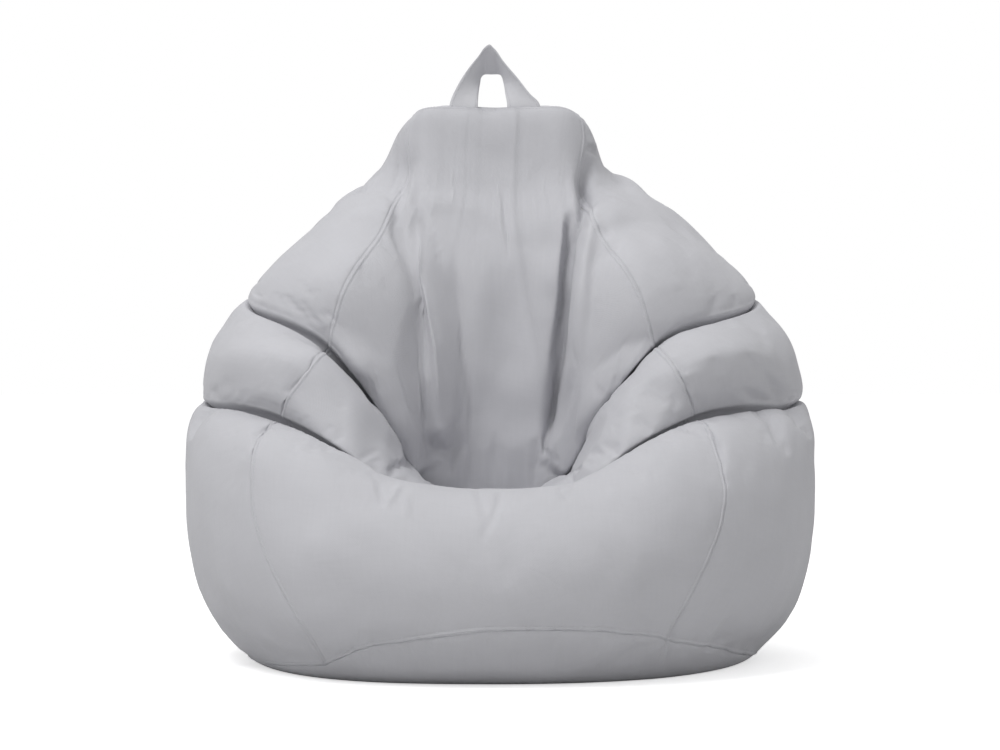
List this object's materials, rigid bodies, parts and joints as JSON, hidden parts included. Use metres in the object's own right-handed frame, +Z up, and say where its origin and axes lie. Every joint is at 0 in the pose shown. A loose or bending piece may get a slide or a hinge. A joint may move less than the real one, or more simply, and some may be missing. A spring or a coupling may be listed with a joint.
{
  "type": "bean bag chair",
  "caption": "Teardrop bean bag chair with a slumped bucket seat, a strap handle at the top and a zipped inner liner full of beads.",
  "frame": {"origin": "on the floor under the middle of the bag", "axes": "+Z up; -Y is the front, where the seat opens; +X is the sitter's left"},
  "size_m": [0.9028, 0.8615, 0.9009],
  "materials": {
    "cover_cloth": "matte light grey coated Oxford weave",
    "strap": "matte light grey folded and stitched cover cloth",
    "liner_cloth": "plain white nonwoven",
    "zip_tape": "woven grey tape",
    "zip_teeth": "grey nylon coil",
    "zip_metal": "grey lacquered zinc",
    "beads": "white expanded polystyrene beads"
  },
  "bodies": {
    "bag": {"front_panel": "cover_cloth", "left_panel": "cover_cloth", "right_panel": "cover_cloth", "back_left_panel": "cover_cloth", "back_right_panel": "cover_cloth", "base_panel": "cover_cloth", "top_cap": "cover_cloth", "handle_feet": "strap", "zip_tape_left": "zip_tape", "zip_tape_right": "zip_tape", "zip_teeth_left": "zip_teeth", "zip_teeth_right": "zip_teeth", "zip_bottom_stop": "zip_metal", "zip_top_stops": "zip_metal", "liner_front_panel": "liner_cloth", "liner_back_left_panel": "liner_cloth", "liner_back_right_panel": "liner_cloth", "liner_base_panel": "liner_cloth", "liner_top_panel": "liner_cloth", "liner_zip_tape_left": "zip_tape", "liner_zip_tape_right": "zip_tape", "liner_zip_teeth_left": "zip_teeth", "liner_zip_teeth_right": "zip_teeth", "liner_zip_bottom_stop": "zip_metal", "liner_zip_top_stops": "zip_metal", "bead_filling": "beads"},
    "handle": {"carry_handle": "strap"},
    "slider": {"zip_slider": "zip_metal"},
    "pull": {"zip_pull": "zip_metal"},
    "inner_slider": {"liner_zip_slider": "zip_metal"}
  },
  "joints": [
    {"name": "handle_flop", "type": "hinge", "parent": "bag", "child": "handle", "pos_m": [0, 0.13, 0.81], "axis": [1, 0, 0], "range_deg": [-50, 80]},
    {"name": "zip_slide", "type": "slide", "parent": "bag", "child": "slider", "axis": [0, 0.3273, -0.9449], "range_m": [0, 0.335]},
    {"name": "pull_swing", "type": "hinge", "parent": "slider", "child": "pull", "pos_m": [0, 0.30425, 0.65434], "axis": [1, 0, 0], "range_deg": [0, 170]},
    {"name": "inner_zip_slide", "type": "slide", "parent": "bag", "child": "inner_slider", "axis": [0, 0.3273, -0.9449], "range_m": [0, 0.215]}
  ]
}
